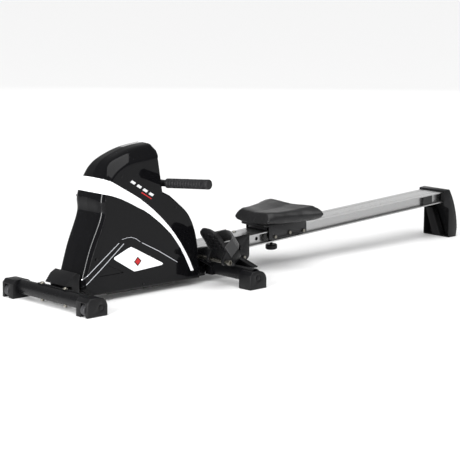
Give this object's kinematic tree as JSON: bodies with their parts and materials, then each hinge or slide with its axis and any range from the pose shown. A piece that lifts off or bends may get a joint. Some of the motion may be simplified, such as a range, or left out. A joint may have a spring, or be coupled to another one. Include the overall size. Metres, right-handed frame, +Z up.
{
  "type": "rowing machine",
  "caption": "Folding magnetic rowing machine with a flywheel casing, pull handle, pivoting foot plates and a contoured seat that rolls along an aluminium rail.",
  "frame": {"origin": "on the floor, at the middle of the machine's length and width", "axes": "+X along the machine from the flywheel casing to the rear foot, +Y to the rower's right, +Z up; the rower faces -X"},
  "size_m": [2.065, 0.54, 0.514],
  "materials": {
    "black_frame": "semi-gloss powder coat",
    "black_plastic": "satin, fine grained",
    "zinc": "bright zinc plate",
    "gloss_casing": "high gloss",
    "white_plastic": "gloss",
    "bright_trim": "bright",
    "console_plastic": "satin",
    "console_glass": "clear, gloss",
    "console_screen": "grey green display on a board",
    "button_plastic": "satin",
    "belt_rubber": "matte",
    "spring_steel": "tempered strip",
    "flywheel_iron": "painted",
    "alloy": "machined",
    "magnet": "nickel plate",
    "drum_plastic": "satin",
    "strap_webbing": "flat woven webbing",
    "chrome_bar": "satin black",
    "grip_foam": "matte closed-cell foam",
    "rail_aluminium": "fine brushed, clear anodised",
    "stop_rubber": "matte",
    "carriage_grey": "satin powder coat",
    "roller_nylon": "satin",
    "seat_cover": "grained black vinyl",
    "wheel_plastic": "satin"
  },
  "bodies": {
    "frame": {"base_beam": "black_frame", "front_stabilizer": "black_frame", "mid_stabilizer": "black_frame", "front_caps": "black_plastic", "mid_caps": "black_plastic", "frame_fasteners": "zinc", "mast_plates": "black_frame", "post_plates": "black_frame", "cross_members": "black_frame", "fixed_rail": "rail_aluminium", "hinge_pin": "black_frame", "pedal_axle": "zinc", "casing_left": "gloss_casing", "casing_right": "gloss_casing", "casing_screws": "black_frame", "white_accents": "white_plastic", "trim_strips": "bright_trim", "nose_cover": "black_plastic", "handle_rest": "black_frame", "console_housing": "console_plastic", "console_lens": "console_glass", "console_board": "console_screen", "drive_axles": "zinc", "drive_belt": "belt_rubber", "return_spring": "spring_steel", "spring_housing": "black_plastic", "brake_servo": "black_plastic"},
    "flywheel": {"flywheel": "flywheel_iron", "flywheel_pulley": "alloy"},
    "drive_pulley": {"drive_pulley": "alloy"},
    "drum": {"strap_drum": "drum_plastic"},
    "guide_roller": {"guide_roller": "drum_plastic"},
    "brake": {"brake_arm": "alloy", "brake_magnets": "magnet"},
    "handle": {"handle_bar": "chrome_bar", "grips": "grip_foam", "strap_clip": "black_plastic", "pull_strap": "strap_webbing"},
    "pedal_left": {"footplate_left": "black_plastic", "foot_strap_left": "strap_webbing"},
    "pedal_right": {"footplate_right": "black_plastic", "foot_strap_right": "strap_webbing"},
    "rail": {"rail": "rail_aluminium", "rail_bracket": "black_frame", "rail_fasteners": "zinc", "rail_stops": "stop_rubber", "rear_foot": "black_plastic"},
    "seat": {"seat_carriage": "carriage_grey", "roller_bolts": "zinc", "seat_board": "black_plastic", "seat_cushion": "seat_cover"},
    "rollers_front": {"seat_rollers_front": "roller_nylon"},
    "rollers_middle": {"seat_rollers_middle": "roller_nylon"},
    "rollers_rear": {"seat_rollers_rear": "roller_nylon"},
    "seat_lock": {"seat_lock_knob": "black_plastic"},
    "transport_left": {"transport_wheel_left": "wheel_plastic"},
    "transport_right": {"transport_wheel_right": "wheel_plastic"},
    "button_1": {"console_button_1": "button_plastic"},
    "button_2": {"console_button_2": "button_plastic"},
    "button_3": {"console_button_3": "button_plastic"}
  },
  "joints": [
    {"name": "flywheel_spin", "type": "hinge", "parent": "frame", "child": "flywheel", "pos_m": [-0.6565, 0, 0.185], "axis": [0, 1, 0], "continuous": true},
    {"name": "drive_pulley_spin", "type": "hinge", "parent": "frame", "child": "drive_pulley", "pos_m": [-0.6865, 0, 0.392], "axis": [0, 1, 0], "continuous": true},
    {"name": "drum_spin", "type": "hinge", "parent": "frame", "child": "drum", "pos_m": [-0.6865, 0, 0.392], "axis": [0, 1, 0], "range_deg": [-1600, 1600]},
    {"name": "guide_roller_spin", "type": "hinge", "parent": "frame", "child": "guide_roller", "pos_m": [-0.6015, 0, 0.361], "axis": [0, 1, 0], "range_deg": [-4000, 4000]},
    {"name": "brake_swing", "type": "hinge", "parent": "frame", "child": "brake", "pos_m": [-0.71753, 0, 0.29978], "axis": [0, 1, 0], "range_deg": [0, 8], "stiffness_Nm_per_rad": 1.5, "springref_deg": -20.05},
    {"name": "handle_pull", "type": "slide", "parent": "frame", "child": "handle", "axis": [1, 0, 0], "range_m": [0, 0.9], "stiffness_N_per_m": 20, "springref_m": -0.3, "deforming": ["pull_strap"]},
    {"name": "pedal_left_tilt", "type": "hinge", "parent": "frame", "child": "pedal_left", "pos_m": [-0.3805, -0.15, 0.097], "axis": [0, 1, 0], "range_deg": [-20, 8]},
    {"name": "pedal_right_tilt", "type": "hinge", "parent": "frame", "child": "pedal_right", "pos_m": [-0.3805, 0.15, 0.097], "axis": [0, 1, 0], "range_deg": [-20, 8]},
    {"name": "rail_fold", "type": "hinge", "parent": "frame", "child": "rail", "pos_m": [-0.1865, 0, 0.104], "axis": [0, 1, 0], "range_deg": [-85, 0]},
    {"name": "seat_slide", "type": "slide", "parent": "rail", "child": "seat", "axis": [0.999, 0, 0.0439], "range_m": [0, 0.68]},
    {"name": "seat_lock_pull", "type": "slide", "parent": "rail", "child": "seat_lock", "axis": [0.0439, 0, -0.999], "range_m": [0, 0.008], "stiffness_N_per_m": 600, "springref_m": -0.012},
    {"name": "transport_left_spin", "type": "hinge", "parent": "frame", "child": "transport_left", "pos_m": [-1.0125, -0.206, 0.024], "axis": [0, 1, 0], "continuous": true},
    {"name": "transport_right_spin", "type": "hinge", "parent": "frame", "child": "transport_right", "pos_m": [-1.0125, 0.206, 0.024], "axis": [0, 1, 0], "continuous": true},
    {"name": "rollers_front_spin", "type": "hinge", "parent": "seat", "child": "rollers_front", "pos_m": [-0.00751, 0, 0.12265], "axis": [0, 1, 0], "range_deg": [-2700, 2700]},
    {"name": "rollers_middle_spin", "type": "hinge", "parent": "seat", "child": "rollers_middle", "pos_m": [0.06823, 0, 0.13038], "axis": [0, 1, 0], "range_deg": [-2700, 2700]},
    {"name": "rollers_rear_spin", "type": "hinge", "parent": "seat", "child": "rollers_rear", "pos_m": [0.14135, 0, 0.12918], "axis": [0, 1, 0], "range_deg": [-2700, 2700]},
    {"name": "button_1_press", "type": "slide", "parent": "frame", "child": "button_1", "axis": [-0.9874, 0, -0.158], "range_m": [0, 0.0015], "stiffness_N_per_m": 400, "springref_m": -0.0015},
    {"name": "button_2_press", "type": "slide", "parent": "frame", "child": "button_2", "axis": [-0.9874, 0, -0.158], "range_m": [0, 0.0015], "stiffness_N_per_m": 400, "springref_m": -0.0015},
    {"name": "button_3_press", "type": "slide", "parent": "frame", "child": "button_3", "axis": [-0.9874, 0, -0.158], "range_m": [0, 0.0015], "stiffness_N_per_m": 400, "springref_m": -0.0015}
  ],
  "couplings": [
    {"joint": "drive_pulley_spin", "follows": "flywheel_spin", "ratio": 0.37143},
    {"joint": "drum_spin", "follows": "handle_pull", "rad_per_m": -30.03},
    {"joint": "guide_roller_spin", "follows": "handle_pull", "rad_per_m": 76.34},
    {"joint": "rollers_front_spin", "follows": "seat_slide", "rad_per_m": 66.667},
    {"joint": "rollers_middle_spin", "follows": "seat_slide", "rad_per_m": -66.667},
    {"joint": "rollers_rear_spin", "follows": "seat_slide", "rad_per_m": 66.667}
  ]
}
